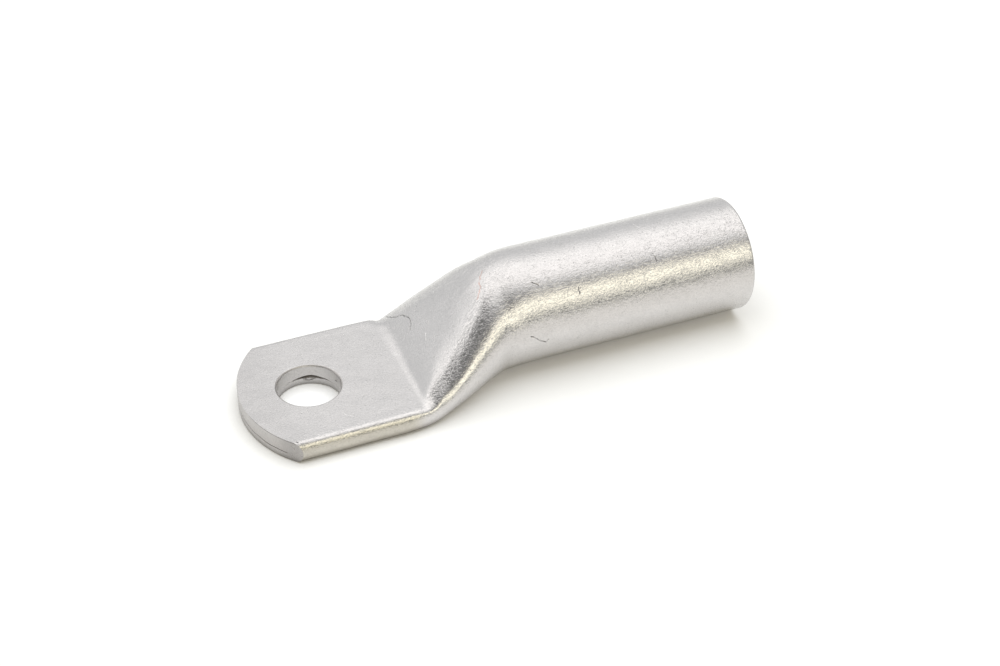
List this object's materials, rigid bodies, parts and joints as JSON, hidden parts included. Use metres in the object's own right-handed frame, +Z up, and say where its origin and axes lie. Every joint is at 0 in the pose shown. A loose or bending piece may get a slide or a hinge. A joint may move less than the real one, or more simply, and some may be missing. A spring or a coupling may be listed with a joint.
{
  "type": "long barrel cable lug",
  "caption": "One-piece tube lug: a flat palm with a stud hole and a cut end, a sloping neck and a long round barrel that takes a crimped conductor.",
  "frame": {"origin": "axis of the stud hole at the underside of the palm", "axes": "+Z up along the stud hole, +X along the barrel towards its open mouth, +Y across the palm"},
  "size_m": [0.1084, 0.0346, 0.0242],
  "materials": {
    "tinned_copper": "satin tumbled tin plating"
  },
  "bodies": {
    "root": {"cable_lug": "tinned_copper"}
  },
  "joints": []
}
